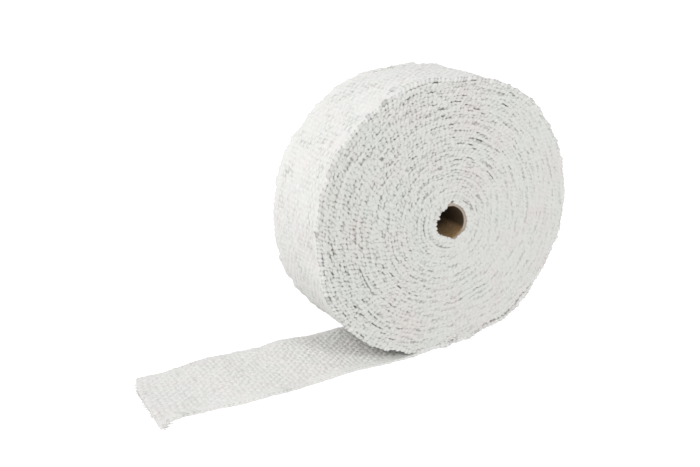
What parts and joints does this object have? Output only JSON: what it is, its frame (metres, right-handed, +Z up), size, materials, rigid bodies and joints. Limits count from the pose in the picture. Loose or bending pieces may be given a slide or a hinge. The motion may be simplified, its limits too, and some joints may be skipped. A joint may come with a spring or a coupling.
{
  "type": "exhaust heat wrap roll",
  "caption": "Roll of flat woven glass-fibre tape wound on a cardboard core, standing on its rim, with its free end laid out on the floor; wraps hot exhaust pipes.",
  "frame": {"origin": "on the floor, straight below the middle of the roll, on the flat patch that the roll rests on", "axes": "+X away from the tape's free end, which points to -X; +Y along the roll's axis; +Z up"},
  "size_m": [0.218, 0.055, 0.1377],
  "materials": {
    "woven_glass_fibre": "matt off-white woven glass-fibre yarn, coarse weave with small dark gaps",
    "core_cardboard": "matt brown wound paper tube"
  },
  "bodies": {
    "root": {"heat_wrap_tape": "woven_glass_fibre", "cardboard_core": "core_cardboard"}
  },
  "joints": []
}
